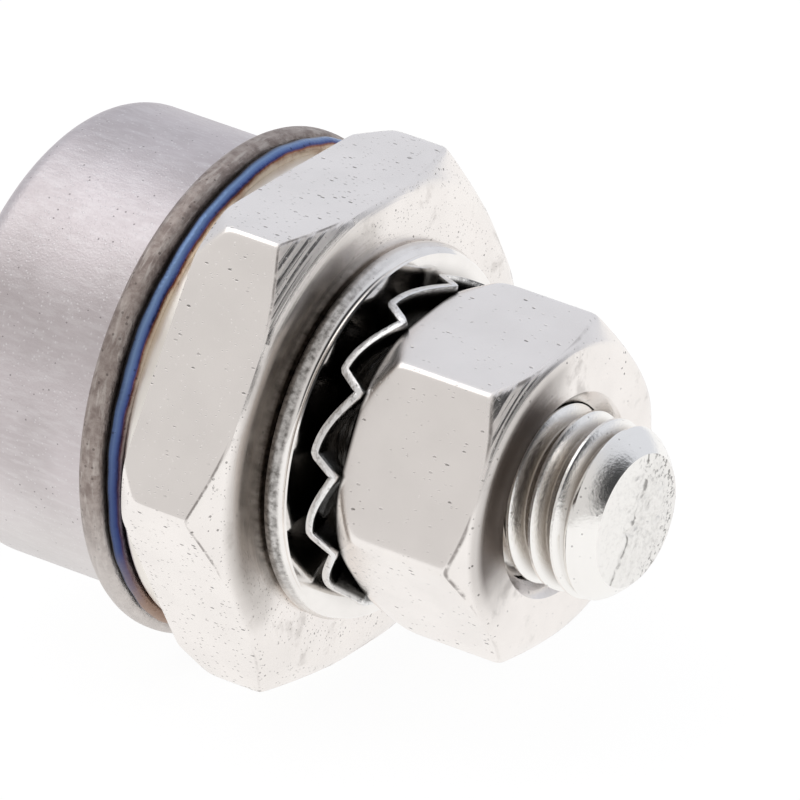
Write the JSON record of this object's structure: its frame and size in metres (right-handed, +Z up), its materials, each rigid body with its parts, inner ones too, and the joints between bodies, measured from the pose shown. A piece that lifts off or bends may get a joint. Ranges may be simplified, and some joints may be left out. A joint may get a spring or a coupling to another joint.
{
  "type": "stud diode",
  "caption": "Stud-mount rectifier diode: a welded metal can with a solder lug on a hexagon base, its threaded stud carrying a flat washer, toothed lock washer and nut.",
  "frame": {"origin": "on the floor under the axis, halfway between the tip of the stud and the end of the lug", "axes": "+X along the floor under the axis, towards the tip of the stud, and +Z up. The part lies on its weld flange and on the front edge of one flat of the hexagon, so its axis dips 4.8 degrees towards the stud."},
  "size_m": [0.0358, 0.0202, 0.0184],
  "materials": {
    "base_metal": "satin nickel plate over copper, with fine pits",
    "weld_metal": "steel weld tinted blue by heat",
    "cap_metal": "dull nickel plate, finely specked",
    "seal_glass": "fused, nearly opaque",
    "terminal_metal": "satin tin plate",
    "copper": "bare copper",
    "plate_metal": "lapped",
    "solder": "dull",
    "silicon": "polished wafer",
    "silicone": "soft coat",
    "washer_metal": "bright nickel plate",
    "nut_metal": "nickel plate over turned faces"
  },
  "bodies": {
    "root": {"stud_base": "base_metal", "weld_ring": "weld_metal", "cap": "cap_metal", "glass_seal": "seal_glass", "terminal": "terminal_metal", "inner_lead": "copper", "upper_plate": "plate_metal", "upper_solder": "solder", "silicon_die": "silicon", "lower_plate": "plate_metal", "lower_solder": "solder", "junction_coat": "silicone", "flat_washer": "washer_metal", "lock_washer": "washer_metal", "hex_nut": "nut_metal"}
  },
  "joints": []
}
